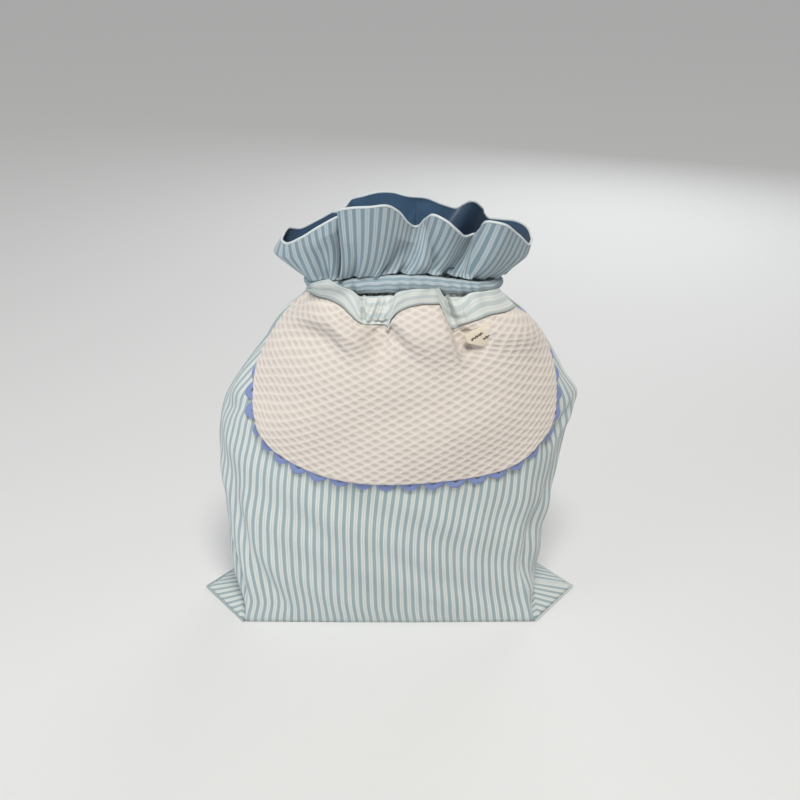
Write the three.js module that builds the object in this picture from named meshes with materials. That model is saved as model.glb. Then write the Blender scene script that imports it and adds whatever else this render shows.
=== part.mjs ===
// A lined drawstring cloth sack: ticking outside, plain cotton inside, a gathered neck with a ruffle,
// boxed bottom corners that lie out as pointed ears, and a quilted flap that hangs over the front.
//
// Millimetres, +Z up, the front faces -Y. The origin is the middle of the base on the ground.

import * as THREE from "three";

// ---- driving dimensions ----

const SEAM_GAP = 0.3; // clearance that stands for a sewn seam between two pieces of cloth
const CLOTH = 1.2; // outer ticking
const LINING = 0.8; // lining cotton
const LINING_INSET = CLOTH + SEAM_GAP;

const EAR_TIP = 203; // half the distance between the two ear tips
const EAR_EDGE = 2.4; // two folded layers of cloth at an ear's rim
const EAR_FLAT_Z = 7; // height at which an ear begins to rise into the side
const EAR_ROOT_Z = 24; // height at which an ear has joined the side
const BASE_SEAM_SHARE = 0.985; // the base seam ends just short of the corners

// Outer shape of the closed sack, from the ground to the neck and out to the rim of the ruffle.
// sway moves the middle sideways, droop lowers the side seams, belly is how much further the back
// bulges than the front, and round runs from 0, a rectangle, to 1, an ellipse.
const STATIONS = [
  { z: 0, halfWidth: 154, halfDepth: 60, sway: 0, droop: 0, belly: 0, round: 0.05 },
  { z: 24, halfWidth: 161, halfDepth: 66, sway: -2, droop: 0, belly: 0.5, round: 0.35 },
  { z: 60, halfWidth: 166, halfDepth: 72, sway: -4, droop: 0, belly: 3, round: 0.6 },
  { z: 105, halfWidth: 168, halfDepth: 77, sway: -4, droop: 0, belly: 6, round: 0.75 },
  { z: 155, halfWidth: 173, halfDepth: 79, sway: 0, droop: 0, belly: 7.4, round: 0.85 },
  { z: 205, halfWidth: 175, halfDepth: 79, sway: 4, droop: 0, belly: 7.4, round: 0.9 },
  { z: 240, halfWidth: 171, halfDepth: 76, sway: 9, droop: 0, belly: 6, round: 0.95 },
  { z: 272, halfWidth: 156, halfDepth: 69, sway: 14, droop: 0, belly: 3, round: 1 },
  { z: 305, halfWidth: 134, halfDepth: 60, sway: 17, droop: 0, belly: 0.5, round: 1 },
  { z: 335, halfWidth: 112, halfDepth: 50, sway: 17, droop: 3, belly: 0, round: 1 },
  { z: 358, halfWidth: 91, halfDepth: 40, sway: 16, droop: 8, belly: 0, round: 1 },
  { z: 372, halfWidth: 85, halfDepth: 36.5, sway: 15, droop: 11, belly: 0, round: 1 },
  { z: 382, halfWidth: 90, halfDepth: 38.5, sway: 14, droop: 15, belly: 0, round: 1 },
  { z: 408, halfWidth: 105, halfDepth: 46, sway: 12, droop: 28, belly: 0, round: 1 },
  { z: 444, halfWidth: 113, halfDepth: 51, sway: 11, droop: 45, belly: 0, round: 1 },
];
const CORNER_SHARE = 0.15; // how far round the front the corner of the base lies
const CORNER_ANGLE = (40 * Math.PI) / 180; // the matching angle on an elliptical section
const WALL_ROWS = [EAR_ROOT_Z, 60, 105, 155, 205, 240, 267, 292, 315, 337, 351, 363, 372, 382];
const COLUMNS_ON_A_SIDE = 3;
const COLUMNS_ON_THE_FACE = 20;

const NECK_Z = 372; // height of the drawcord
const RUFFLE_Z = 382;
const RIM_Z = 444;
const RUFFLE_ROWS = [393, 406, 418, 431, RIM_Z];
const PLEATS = 5; // on each of the front and the back
const PLEAT_DEPTH = 8;
const RIM_RISE = 5; // the rim is higher on the folds that stand in

const CASING_HEIGHT = 17;
const CASING_BULGE = 7.5;
const CASING_CLEARANCE = 0.9;
const CORD_RADIUS = 2.2;
const CORD_OFFSET = 3.9; // from the neck's outer face to the cord's middle

const FLAP_TOP_Z = 347;
const FLAP_MIDDLE_Z = 284; // height of the flap's widest line
const FLAP_HALF_WIDTH = 1.14; // in corner widths: 1 reaches the sack's own corner line
const FLAP_TOP_HALF_WIDTH = 1.2; // gathered, it goes almost from side seam to side seam
const FLAP_SHIFT = 0.04; // the flap hangs a little to the right
const FLAP_DROP = 99; // from the widest line to the bottom edge
const FLAP_SIDES = 0.24; // share of the edge that is its straight sides, above the widest line
const EDGE_SHARE = 0.985; // the sides end just under the top seam
const FLAP_SQUARENESS = 2.6; // 2 is an ellipse, more is squarer
const FLAP_COLUMNS = 20;
const FLAP_ROWS = 8;
const CORNER_WIDTH = 135; // length along the front of one corner width
const BACKING_OFFSET = 3;
const BACKING_THICKNESS = 1;
const BACKING_SETBACK = 5; // the backing's edge lies inside the flap's
const PANEL_OFFSET = 5.6;
const PANEL_THICKNESS = 1.4;

const YOKE_TOP_Z = 361.5;
const YOKE_BOTTOM_Z = FLAP_TOP_Z + 0.5;
const YOKE_THICKNESS = 2;

const RICKRACK_SHARE = 0.97; // of the flap's edge
const RICKRACK_WAVES = 24;
const RICKRACK_STEPS_PER_WAVE = 4;
const RICKRACK_THICKNESS = 0.8;
const RICKRACK_TUCK = -1; // how far the braid starts under the flap's edge
const RICKRACK_STAND = 3.6; // how far its middle line stands out
const RICKRACK_WAVE = 2.6;

const LABEL = { width: 26, height: 20, thickness: 0.8, q: 0.66, z: 331, offset: 8, tilt: 0.25 };

// ---- materials ----

const cloth = (color, roughness = 0.9) =>
  new THREE.MeshStandardMaterial({ color, roughness, metalness: 0 });
const MATERIALS = {
  ticking: () => cloth(0xb4bfc0),
  lining: () => cloth(0x4f6a88),
  cord: () => cloth(0xe6e3d8),
  quilting: () => cloth(0xe6dcd2),
  backing: () => cloth(0xeae6de),
  braid: () => cloth(0x7a8fc4, 0.75),
  label: () => cloth(0xe8dbc8, 0.8),
};

// ---- the sack's outer surface ----

// One of the sack's measures at a height, as a smooth curve through the stations.
const curveThrough = (measure) =>
  new THREE.CubicInterpolant(
    STATIONS.map((station) => station.z),
    STATIONS.map((station) => station[measure]),
    1,
  );
const MEASURES = ["halfWidth", "halfDepth", "sway", "droop", "belly", "round"];
const CURVES = Object.fromEntries(
  MEASURES.map((measure) => [measure, curveThrough(measure)]),
);
const measureAt = (measure, z) => CURVES[measure].evaluate(THREE.MathUtils.clamp(z, 0, RIM_Z))[0];

// Shares of the way round one half of the sack, from its +X side seam to its -X side seam.
const range = (count, from, to) =>
  Array.from({ length: count + 1 }, (_, step) => THREE.MathUtils.lerp(from, to, step / count));
const SHARES = [
  ...range(COLUMNS_ON_A_SIDE, 0, CORNER_SHARE),
  ...range(COLUMNS_ON_THE_FACE, CORNER_SHARE, 1 - CORNER_SHARE).slice(1),
  ...range(COLUMNS_ON_A_SIDE, 1 - CORNER_SHARE, 1).slice(1),
];

// A point on a rectangle and on an ellipse of half sizes 1, at the same share of the way round.
function unitRectangle(share) {
  if (share < CORNER_SHARE) return [1, share / CORNER_SHARE];
  if (share > 1 - CORNER_SHARE) return [-1, (1 - share) / CORNER_SHARE];
  return [1 - (2 * (share - CORNER_SHARE)) / (1 - 2 * CORNER_SHARE), 1];
}

function unitEllipse(share) {
  const onSide = share < CORNER_SHARE || share > 1 - CORNER_SHARE;
  const fromSeam = Math.min(share, 1 - share);
  const across = (share - CORNER_SHARE) / (1 - 2 * CORNER_SHARE);
  const alongSide = (CORNER_ANGLE * fromSeam) / CORNER_SHARE;
  const sideAngle = share < 0.5 ? alongSide : Math.PI - alongSide;
  const faceAngle = THREE.MathUtils.lerp(CORNER_ANGLE, Math.PI - CORNER_ANGLE, across);
  const angle = onSide ? sideAngle : faceAngle;
  return [Math.cos(angle), Math.sin(angle)];
}

// The section at a height, before the pleats: [x, distance from the middle plane].
function section(share, z) {
  const box = unitRectangle(share);
  const oval = unitEllipse(share);
  const round = measureAt("round", z);
  return [
    measureAt("halfWidth", z) * THREE.MathUtils.lerp(box[0], oval[0], round),
    measureAt("halfDepth", z) * THREE.MathUtils.lerp(box[1], oval[1], round),
  ];
}

const pleatWave = (share) => Math.cos(2 * Math.PI * PLEATS * share);
const ruffleShare = (z) => THREE.MathUtils.clamp((z - RUFFLE_Z) / (RIM_Z - RUFFLE_Z), 0, 1);

function outwards(before, after) {
  const length = Math.hypot(after[0] - before[0], after[1] - before[1]);
  return [(after[1] - before[1]) / length, -(after[0] - before[0]) / length];
}

const SHARE_STEP = 0.004;

// The same with the ruffle's pleats, which grow from nothing at the neck.
function pleated(share, z) {
  const [x, depth] = section(share, z);
  const reach = PLEAT_DEPTH * ruffleShare(z) * pleatWave(share);
  if (reach === 0) return [x, depth];
  const low = Math.max(share - SHARE_STEP, 0);
  const high = Math.min(share + SHARE_STEP, 1);
  const normal = outwards(section(low, z), section(high, z));
  return [x + reach * normal[0], depth + reach * normal[1]];
}

// A point at a distance outside the sack's outer face; side is -1 on the front and 1 on the back.
function wallPoint(side, share, z, outside) {
  const onSeam = share === 0 || share === 1;
  const [x, depth] = pleated(share, z);
  const low = Math.max(share - SHARE_STEP, 0);
  const high = Math.min(share + SHARE_STEP, 1);
  const normal = onSeam ? [1 - 2 * share, 0] : outwards(pleated(low, z), pleated(high, z));
  const rise = -RIM_RISE * ruffleShare(z) * pleatWave(share);
  const droop = measureAt("droop", z) * Math.cos(Math.PI * share) ** 2;
  const fullness = side > 0 ? 1 + measureAt("belly", z) / measureAt("halfDepth", z) : 1;
  const away = onSeam ? SEAM_GAP / 2 : Math.max((depth + outside * normal[1]) * fullness, SEAM_GAP / 2);
  const sideways = x + outside * normal[0] + measureAt("sway", z);
  return new THREE.Vector3(sideways, side * away, z + rise - droop);
}

// ---- closed solids from grids of points ----

// A sheet with an outer and an inner face, given as equal grids of points, and its four edges.
function sheetSolid(outer, inner) {
  const rows = outer.length;
  const columns = outer[0].length;
  const points = [...outer.flat(), ...inner.flat()];
  const at = (face, row, column) => face * rows * columns + row * columns + column;
  const triangles = [];
  const quad = (a, b, c, d) => triangles.push(a, b, c, a, c, d);
  for (let row = 0; row < rows - 1; row++) {
    for (let column = 0; column < columns - 1; column++) {
      const corner = (face, down, across) => at(face, row + down, column + across);
      quad(corner(0, 0, 0), corner(0, 0, 1), corner(0, 1, 1), corner(0, 1, 0));
      quad(corner(1, 0, 0), corner(1, 1, 0), corner(1, 1, 1), corner(1, 0, 1));
    }
  }
  for (let column = 0; column < columns - 1; column++) {
    const last = rows - 1;
    quad(at(0, 0, column + 1), at(0, 0, column), at(1, 0, column), at(1, 0, column + 1));
    quad(at(0, last, column), at(0, last, column + 1), at(1, last, column + 1), at(1, last, column));
  }
  for (let row = 0; row < rows - 1; row++) {
    const last = columns - 1;
    quad(at(0, row, 0), at(0, row + 1, 0), at(1, row + 1, 0), at(1, row, 0));
    quad(at(0, row + 1, last), at(0, row, last), at(1, row, last), at(1, row + 1, last));
  }
  return facingOut(points, triangles);
}

// A ring: the same closed section at each station of a closed path.
function ringSolid(sections) {
  const sides = sections[0].length;
  const points = sections.flat();
  const triangles = [];
  sections.forEach((_, station) => {
    const next = (station + 1) % sections.length;
    for (let side = 0; side < sides; side++) {
      const across = (side + 1) % sides;
      const a = station * sides + side;
      const b = next * sides + side;
      const c = next * sides + across;
      const d = station * sides + across;
      triangles.push(a, b, c, a, c, d);
    }
  });
  return facingOut(points, triangles);
}

// An indexed geometry whose faces point out, whichever way round the grid ran.
function facingOut(points, triangles) {
  let volume = 0;
  for (let corner = 0; corner < triangles.length; corner += 3) {
    const [a, b, c] = triangles.slice(corner, corner + 3).map((index) => points[index]);
    volume += a.dot(b.clone().cross(c));
  }
  const index = volume > 0 ? triangles : triangles.slice().reverse();
  const geometry = new THREE.BufferGeometry().setFromPoints(points);
  geometry.setIndex(index);
  geometry.computeVertexNormals();
  return geometry;
}

// ---- body panels and linings ----

// The front edge of the base with its ears: the outline on the ground, as [x, distance back].
function earOutline(share) {
  const baseCorner = section(CORNER_SHARE, 0);
  const [x, depth] = section(share, 0);
  const fromSeam = Math.min(share, 1 - share) / CORNER_SHARE;
  if (fromSeam >= 1) return [x, depth];
  const reach = THREE.MathUtils.lerp(EAR_TIP, baseCorner[0], fromSeam);
  return [share < 0.5 ? reach : -reach, baseCorner[1] * fromSeam];
}

// The base seam, which runs along the middle of the base from corner to corner.
const seamRow = (row, side, z) =>
  SHARES.map((share) => {
    const reach = row[0].x * BASE_SEAM_SHARE;
    return new THREE.Vector3(reach * (1 - 2 * share), (side * SEAM_GAP) / 2, z);
  });

// A wall that follows the sack at an inset, from the base seam to the rim.
function wallGrid(side, inset) {
  const ring = (z) => SHARES.map((share) => wallPoint(side, share, z, -inset));
  const floor = ring(0).map((point) => point.setZ(inset));
  const kerb = ring(EAR_EDGE).map((point) => point.setZ(EAR_EDGE + inset / 2));
  return [
    seamRow(floor, side, inset),
    floor,
    kerb,
    ...[EAR_FLAT_Z, ...WALL_ROWS, ...RUFFLE_ROWS].map(ring),
  ];
}

// The outer face, whose lowest rows run out into the ears.
function outerGrid(side) {
  const grid = wallGrid(side, 0);
  const outline = (z) =>
    SHARES.map((share) => {
      const [x, depth] = earOutline(share);
      return new THREE.Vector3(x, side * Math.max(depth, SEAM_GAP / 2), z);
    });
  const ground = outline(0);
  const rim = outline(EAR_EDGE);
  const root = grid[4];
  const flat = rim.map((point, column) => point.clone().lerp(root[column], 0.6).setZ(EAR_FLAT_Z));
  return [seamRow(ground, side, 0), ground, rim, flat, ...grid.slice(4)];
}

const bodyPanel = (side) => sheetSolid(outerGrid(side), wallGrid(side, CLOTH));
const liningPanel = (side) =>
  sheetSolid(wallGrid(side, LINING_INSET), wallGrid(side, LINING_INSET + LINING));

// ---- drawcord and its casing ----

// Stations right round the neck, each a section given as [distance outside, height].
function aroundNeck(profile) {
  const inner = SHARES.slice(1, -1);
  const stations = [
    ...[0, ...inner, 1].map((share) => [-1, share]),
    ...[...inner].reverse().map((share) => [1, share]),
  ];
  return stations.map(([side, share]) =>
    profile.map(([outside, z]) => {
      const point = wallPoint(side, share, z, outside);
      return share === 0 || share === 1 ? point.setY(0) : point;
    }),
  );
}

// A strip that bulges off the neck, open towards the cloth that it is sewn to.
function casing() {
  const bow = (bulge, height) =>
    range(6, 0, 1).map((share) => [
      CASING_CLEARANCE + bulge * Math.sin(Math.PI * share),
      NECK_Z + height * (share - 0.5),
    ]);
  const outer = bow(CASING_BULGE, CASING_HEIGHT);
  const inner = bow(CASING_BULGE - CLOTH, CASING_HEIGHT - 2 * CLOTH);
  return ringSolid(aroundNeck([...outer, ...inner.reverse()]));
}

function drawcord() {
  const circle = range(8, 0, 2 * Math.PI).slice(0, -1);
  return ringSolid(
    aroundNeck(
      circle.map((angle) => [
        CORD_OFFSET + CORD_RADIUS * Math.cos(angle),
        NECK_Z + CORD_RADIUS * Math.sin(angle),
      ]),
    ),
  );
}

// ---- the flap ----

// A point over the front: q is 0 at the flap's middle, and 1 reaches about to the sack's corner line.
const overFront = (q, z, outside) =>
  wallPoint(-1, 0.5 - (q + FLAP_SHIFT) * (0.5 - CORNER_SHARE), z, outside);

const power = (value) => Math.abs(value) ** (2 / FLAP_SQUARENESS);

// The flap's edge, from one top corner (-1) round the bottom (0) to the other (1).
function flapEdge(turn, grow = 0) {
  const grown = grow / CORNER_WIDTH;
  const side = Math.sign(turn);
  const around = Math.abs(turn) / (1 - FLAP_SIDES);
  const angle = (Math.min(around, 1) * Math.PI) / 2;
  const up = Math.max(Math.abs(turn) - 1 + FLAP_SIDES, 0) / FLAP_SIDES;
  const half = THREE.MathUtils.lerp(FLAP_HALF_WIDTH, FLAP_TOP_HALF_WIDTH, up) + grown;
  const low = FLAP_MIDDLE_Z - (FLAP_DROP + grow) * power(Math.cos(angle));
  return [side * half * power(Math.sin(angle)), THREE.MathUtils.lerp(low, FLAP_TOP_Z, up)];
}

// A layer of the flap: its columns fan out from the top seam to the curved edge.
function flapLayer(offset, thickness, setback) {
  const topHalfWidth = FLAP_TOP_HALF_WIDTH - setback / CORNER_WIDTH;
  const grid = (outside) =>
    range(FLAP_ROWS, 0, 1).map((down) =>
      range(FLAP_COLUMNS, -1, 1).map((turn) => {
        const [edgeQ, edgeZ] = flapEdge(turn * EDGE_SHARE, -setback);
        const q = THREE.MathUtils.lerp(topHalfWidth * turn, edgeQ, down);
        return overFront(q, THREE.MathUtils.lerp(FLAP_TOP_Z, edgeZ, down), outside);
      }),
    );
  return sheetSolid(grid(offset + thickness), grid(offset));
}

// The crosswise strip between the neck and the flap.
function yoke() {
  const grid = (outside) =>
    range(3, YOKE_TOP_Z, YOKE_BOTTOM_Z).map((z) =>
      range(FLAP_COLUMNS, -1, 1).map((turn) => overFront(FLAP_TOP_HALF_WIDTH * turn, z, outside)),
    );
  return sheetSolid(grid(BACKING_OFFSET + YOKE_THICKNESS), grid(BACKING_OFFSET));
}

// Wavy braid sewn under the flap's curved edge.
function rickrack() {
  const steps = RICKRACK_WAVES * RICKRACK_STEPS_PER_WAVE;
  const grid = (outside) =>
    range(steps, -RICKRACK_SHARE, RICKRACK_SHARE).map((turn, step) => {
      const wave = RICKRACK_WAVE * Math.cos((2 * Math.PI * step) / RICKRACK_STEPS_PER_WAVE);
      return [RICKRACK_TUCK, RICKRACK_STAND + wave].map((grow) => {
        const [q, z] = flapEdge(turn, grow);
        return overFront(q, z, outside);
      });
    });
  return sheetSolid(grid(BACKING_OFFSET + RICKRACK_THICKNESS), grid(BACKING_OFFSET));
}

// A small folded label sewn in the seam between the yoke and the flap.
function placeLabel(mesh) {
  const { q, z, offset, tilt } = LABEL;
  const middle = overFront(q, z, offset);
  const across = overFront(q + 0.02, z, offset).sub(overFront(q - 0.02, z, offset)).normalize();
  const up = overFront(q, z + 2, offset).sub(overFront(q, z - 2, offset));
  up.addScaledVector(across, -up.dot(across)).normalize();
  const out = across.clone().cross(up);
  mesh.quaternion.setFromRotationMatrix(new THREE.Matrix4().makeBasis(across, up, out));
  mesh.rotateZ(tilt);
  mesh.position.copy(middle);
  return mesh;
}

// ---- assembly ----

function piece(name, geometry, material) {
  const mesh = new THREE.Mesh(geometry, MATERIALS[material]());
  mesh.name = name;
  return mesh;
}

const sack = new THREE.Group();
sack.add(
  piece("front_panel", bodyPanel(-1), "ticking"),
  piece("back_panel", bodyPanel(1), "ticking"),
  piece("front_lining", liningPanel(-1), "lining"),
  piece("back_lining", liningPanel(1), "lining"),
  piece("neck_casing", casing(), "ticking"),
  piece("drawcord", drawcord(), "cord"),
);

const flap = new THREE.Group();
flap.add(
  piece("flap_yoke", yoke(), "ticking"),
  piece("flap_panel", flapLayer(PANEL_OFFSET, PANEL_THICKNESS, 0), "quilting"),
  piece("flap_backing", flapLayer(BACKING_OFFSET, BACKING_THICKNESS, BACKING_SETBACK), "backing"),
  piece("rickrack_trim", rickrack(), "braid"),
  placeLabel(
    piece("label", new THREE.BoxGeometry(LABEL.width, LABEL.height, LABEL.thickness), "label"),
  ),
);
sack.add(flap);

export default sack;
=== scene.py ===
"""A stuffed, lined drawstring sack in ticking, with a waffle flap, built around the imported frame.

Metres, +Z up, the front faces -Y. Cloth is laid out by its flat coordinates: u runs across a panel
from its -X side seam, v runs up it from the base seam, and both are kept on the mesh as its UV map.
"""

import math

import bpy
import numpy as np
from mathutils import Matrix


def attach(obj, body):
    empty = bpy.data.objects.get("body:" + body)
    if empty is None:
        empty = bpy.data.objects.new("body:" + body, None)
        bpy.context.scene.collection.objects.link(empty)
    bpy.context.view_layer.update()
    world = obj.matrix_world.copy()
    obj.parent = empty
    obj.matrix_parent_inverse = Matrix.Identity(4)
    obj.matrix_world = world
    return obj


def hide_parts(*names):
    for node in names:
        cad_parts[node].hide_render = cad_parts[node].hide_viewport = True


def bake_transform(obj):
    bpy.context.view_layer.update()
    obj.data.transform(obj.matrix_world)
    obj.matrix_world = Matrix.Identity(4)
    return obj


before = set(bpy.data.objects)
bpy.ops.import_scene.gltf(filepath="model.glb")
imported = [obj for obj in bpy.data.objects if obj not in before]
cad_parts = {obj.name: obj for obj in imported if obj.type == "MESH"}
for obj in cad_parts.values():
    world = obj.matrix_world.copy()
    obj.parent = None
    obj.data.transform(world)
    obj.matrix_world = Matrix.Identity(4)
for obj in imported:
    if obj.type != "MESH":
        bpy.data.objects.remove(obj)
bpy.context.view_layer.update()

# ---- sizes ----

CLOTH_WIDTH = 0.428  # a panel's flat width, seam to seam
BASE_DEPTH = 0.12  # the boxed base, front to back
EAR_TIP = 0.2035
CLOTH = 0.0009
LINING_GAP = 0.0016
NECK_INSET = 0.0022  # from the neck's gathers in to the lining
NECK_LIFT = 0.0045  # of the lining over the foot of the ruffle
SEAM_RADIUS = 0.0010
NECK_Z = 0.372
CASING_LOW, CASING_HIGH = 0.3632, 0.3804
RUFFLE_Z = 0.382
RUFFLE_HEIGHT = 0.072  # of cloth, from the casing to the rim

# Outer shape of the closed sack by height: half width, half depth, sideways sway, how far the
# side seams droop below the middle, how much further the back bulges than the front, and roundness
# from 0, a rectangle, to 1, an ellipse.
STATIONS = np.array([
    (0.000, 0.154, 0.0600, 0.000, 0.000, 0.0000, 0.05),
    (0.024, 0.161, 0.0660, -0.002, 0.000, 0.0005, 0.35),
    (0.060, 0.166, 0.0720, -0.004, 0.000, 0.0030, 0.60),
    (0.105, 0.168, 0.0770, -0.004, 0.000, 0.0060, 0.75),
    (0.155, 0.173, 0.0790, 0.000, 0.000, 0.0074, 0.85),
    (0.205, 0.175, 0.0790, 0.004, 0.000, 0.0074, 0.90),
    (0.240, 0.171, 0.0760, 0.009, 0.000, 0.0060, 0.95),
    (0.272, 0.156, 0.0690, 0.014, 0.000, 0.0030, 1.00),
    (0.305, 0.134, 0.0600, 0.017, 0.000, 0.0005, 1.00),
    (0.335, 0.112, 0.0500, 0.017, 0.003, 0.0000, 1.00),
    (0.358, 0.091, 0.0400, 0.016, 0.008, 0.0000, 1.00),
    (0.372, 0.085, 0.0365, 0.015, 0.011, 0.0000, 1.00),
    (0.382, 0.090, 0.0385, 0.014, 0.015, 0.0000, 1.00),
])
CORNER_SHARE = 0.15  # how far round the front the corner of the base lies
CORNER_ANGLE = math.radians(40)

# The ruffle's rim from the -X seam to the +X seam, in mm: each fold's crest, valley and flanks.
RIMS = {
    -1: [(-96, 4, 408), (-98, -9, 404), (-91, -22, 404), (-77, -30, 412), (-60, -36, 424),
         (-46, -38, 432), (-36, -31, 434), (-35, -42, 438), (-43, -53, 443), (-31, -62, 448),
         (-13, -66, 450), (0, -62, 450), (10, -54, 443), (19, -42, 429), (26, -32, 422),
         (33, -40, 430), (41, -52, 438), (50, -56, 435), (62, -50, 424), (71, -32, 413),
         (78, -20, 411), (83, -32, 420), (88, -46, 431), (101, -49, 430), (117, -34, 416),
         (131, -13, 400), (135, 2, 400)],
    1: [(-96, 4, 408), (-94, 14, 408), (-84, 25, 404), (-67, 33, 410), (-54, 44, 414),
        (-47, 36, 417), (-42, 46, 419), (-37, 54, 423), (-25, 50, 428), (-12, 52, 431),
        (4, 50, 432), (19, 44, 430), (36, 45, 428), (53, 36, 424), (66, 30, 422),
        (72, 14, 430), (79, 6, 436), (86, 12, 429), (90, 28, 418), (97, 42, 409),
        (110, 40, 408), (125, 27, 409), (133, 12, 406), (135, 2, 400)],
}
WING_BULGE = {0: -0.016, 1: 0.006}  # how far the ruffle's two ends sag out below the rim


# ---- curves and grids ----

def spline(xs, ys, steady=False):
    """A smooth curve through points, as a function of numbers or arrays. Steady: it never overshoots."""
    xs, ys = np.asarray(xs, float), np.asarray(ys, float)
    slopes = np.gradient(ys, xs)
    if steady:
        rises = np.diff(ys) / np.diff(xs)
        before, after = rises[:-1], rises[1:]
        product = before * after
        slopes[1:-1] = np.where(product > 0, 2 * product / (before + after + 1e-12), 0)

    def at(x):
        x = np.clip(np.asarray(x, float), xs[0], xs[-1])
        i = np.clip(np.searchsorted(xs, x) - 1, 0, len(xs) - 2)
        h = xs[i + 1] - xs[i]
        t = (x - xs[i]) / h
        rise = (1 + 2 * t) * (1 - t) ** 2 * ys[i] + t * t * (3 - 2 * t) * ys[i + 1]
        return rise + h * (t * (1 - t) ** 2 * slopes[i] - t * t * (1 - t) * slopes[i + 1])

    return at


def smoothstep(low, high, x):
    t = np.clip((np.asarray(x, float) - low) / (high - low), 0, 1)
    return t * t * (3 - 2 * t)


def bell(x, middle, width):
    """1 at the middle, fading smoothly to nothing over a few widths."""
    return np.exp(-(((x - middle) / width) ** 2))


def mix(a, b, t):
    return a + (b - a) * t


HALF_WIDTH, HALF_DEPTH, SWAY, DROOP, BELLY, ROUND = (
    spline(STATIONS[:, 0], STATIONS[:, k]) for k in range(1, 7))


def section_at(share, z):
    """A point of the sack's section: share runs from the -X seam to the +X one. Gives x and depth."""
    share, z = np.broadcast_arrays(np.asarray(share, float), np.asarray(z, float))
    side = np.minimum(share, 1 - share) / CORNER_SHARE
    across = (share - CORNER_SHARE) / (1 - 2 * CORNER_SHARE)
    on_face = side >= 1
    box_x = np.where(on_face, 2 * across - 1, np.where(share < 0.5, -1.0, 1.0))
    box_d = np.minimum(side, 1)
    face_angle = CORNER_ANGLE + across * (math.pi - 2 * CORNER_ANGLE)
    side_angle = CORNER_ANGLE * np.minimum(side, 1)
    angle = np.where(on_face, face_angle, np.where(share < 0.5, side_angle, math.pi - side_angle))
    x = HALF_WIDTH(z) * mix(box_x, -np.cos(angle), ROUND(z))
    depth = HALF_DEPTH(z) * mix(box_d, np.sin(angle), ROUND(z))
    return x, depth


def surface(side, share, z, outside=0.0):
    """A point at a distance outside the sack; side is -1 on the front and 1 on the back."""
    step = 0.004
    x, depth = section_at(share, z)
    low_x, low_d = section_at(np.clip(share - step, 0, 1), z)
    high_x, high_d = section_at(np.clip(share + step, 0, 1), z)
    dx, dd = high_x - low_x, high_d - low_d
    size = np.hypot(dx, dd)
    px = x - outside * dd / size + SWAY(z)
    fullness = 1 + BELLY(z) / HALF_DEPTH(z) if side > 0 else 1.0
    pd = np.maximum((depth + outside * dx / size) * fullness, 0)
    pz = z - DROOP(z) * np.cos(math.pi * np.asarray(share)) ** 2
    return np.stack(np.broadcast_arrays(px, side * pd, pz), axis=-1)


def path_length(points):
    """Length along a path up to each of its points."""
    steps = np.linalg.norm(np.diff(points, axis=0), axis=1)
    return np.concatenate([[0], np.cumsum(steps)])


def points_along(path, along, places):
    """Points of a path at places along it."""
    return np.stack([np.interp(places, along, path[:, k]) for k in range(path.shape[1])], axis=-1)


def add_object(name, data):
    """Puts a new object into the scene."""
    made = bpy.data.objects.new(name, data)
    bpy.context.scene.collection.objects.link(made)
    return made


def add_piece(name, points, faces):
    mesh = bpy.data.meshes.new(name)
    mesh.from_pydata(points, [], faces)
    mesh.shade_smooth()
    return add_object(name, mesh)


def grid_mesh(name, points, uv, closed=False):
    """A mesh from a (rows, columns, 3) array of points; closed joins the last column to the first."""
    rows, columns = points.shape[:2]
    index = np.arange(rows * columns).reshape(rows, columns)
    right = np.roll(index, -1, axis=1)
    last = columns if closed else columns - 1
    a, b = index[:-1, :last], right[:-1, :last]
    d, c = index[1:, :last], right[1:, :last]
    faces = np.stack([a, b, c, d], axis=-1).reshape(-1, 4)
    piece = add_piece(name, points.reshape(-1, 3).tolist(), faces.tolist())
    loops = np.zeros(len(piece.data.loops), int)
    piece.data.loops.foreach_get("vertex_index", loops)
    layer = piece.data.uv_layers.new(name="cloth")
    layer.data.foreach_set("uv", uv.reshape(-1, 2)[loops].astype(np.float32).ravel())
    return piece


def hanging_mesh(name, points, uv):
    """A sheet whose rows run down from its seam, with its outer face outwards."""
    return grid_mesh(name, points[::-1], uv[::-1])


def grid_normals(points):
    """Unit normals of a grid of cloth, on the side that faces away from the inside of the sack."""
    inside = np.stack([points[..., 0].mean(1), np.zeros(len(points)), points[..., 2].mean(1)], axis=1)
    normal = np.cross(np.gradient(points, axis=1), np.gradient(points, axis=0))
    normal /= np.maximum(np.linalg.norm(normal, axis=2, keepdims=True), 1e-12)
    flip = np.sign(np.sum(normal * (points - inside[:, None, :]), axis=2).mean())
    return normal * flip


def thicken(piece, thickness):
    """Gives a sheet its thickness, on its inner side."""
    solid = piece.modifiers.new("thickness", "SOLIDIFY")
    solid.thickness = thickness
    solid.offset = -1
    solid.use_quality_normals = True
    return piece


def join(piece):
    """Welds the seam of a piece whose last points lie on its first."""
    weld = piece.modifiers.new("join", "WELD")
    weld.merge_threshold = 1e-5


def flat_uv(across, up):
    """Flat cloth coordinates for a grid, from its columns' and its rows' places."""
    return np.stack(np.meshgrid(across, up), axis=-1)


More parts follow.
